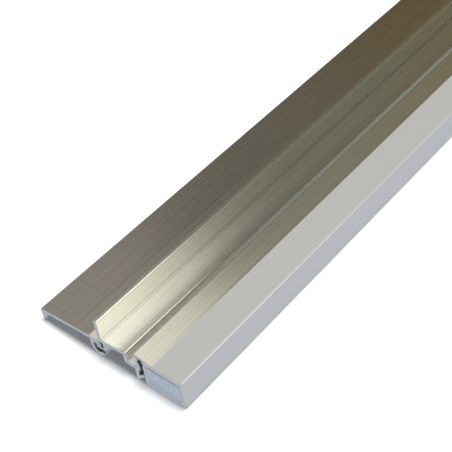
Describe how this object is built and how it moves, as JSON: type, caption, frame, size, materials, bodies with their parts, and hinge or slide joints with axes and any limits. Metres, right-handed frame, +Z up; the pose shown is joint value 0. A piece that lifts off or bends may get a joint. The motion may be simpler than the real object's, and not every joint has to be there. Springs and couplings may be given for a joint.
{
  "type": "aluminium threshold profile",
  "caption": "Straight length of extruded aluminium threshold profile with a clip-in ramp, an upright fin, a seal groove and a nose with a rigid core.",
  "frame": {"origin": "on the floor plane, midway across the width and midway along the length", "axes": "+Y along the stock, +Z up, +X towards the nose"},
  "size_m": [0.1, 0.914, 0.0268],
  "materials": {
    "ramp_aluminium": "bright mill finish with fine lengthwise die lines",
    "centre_aluminium": "bright mill finish with fine lengthwise die lines",
    "nose_aluminium": "bright cover lip, satin grey tread facet and front face",
    "core_plastic": "pale blue-grey rigid plastic with a sawn end",
    "break_polyamide": "matte black"
  },
  "bodies": {
    "root": {"ramp_flange": "ramp_aluminium", "centre_section": "centre_aluminium", "nose_section": "nose_aluminium", "nose_core": "core_plastic", "thermal_break": "break_polyamide"}
  },
  "joints": []
}
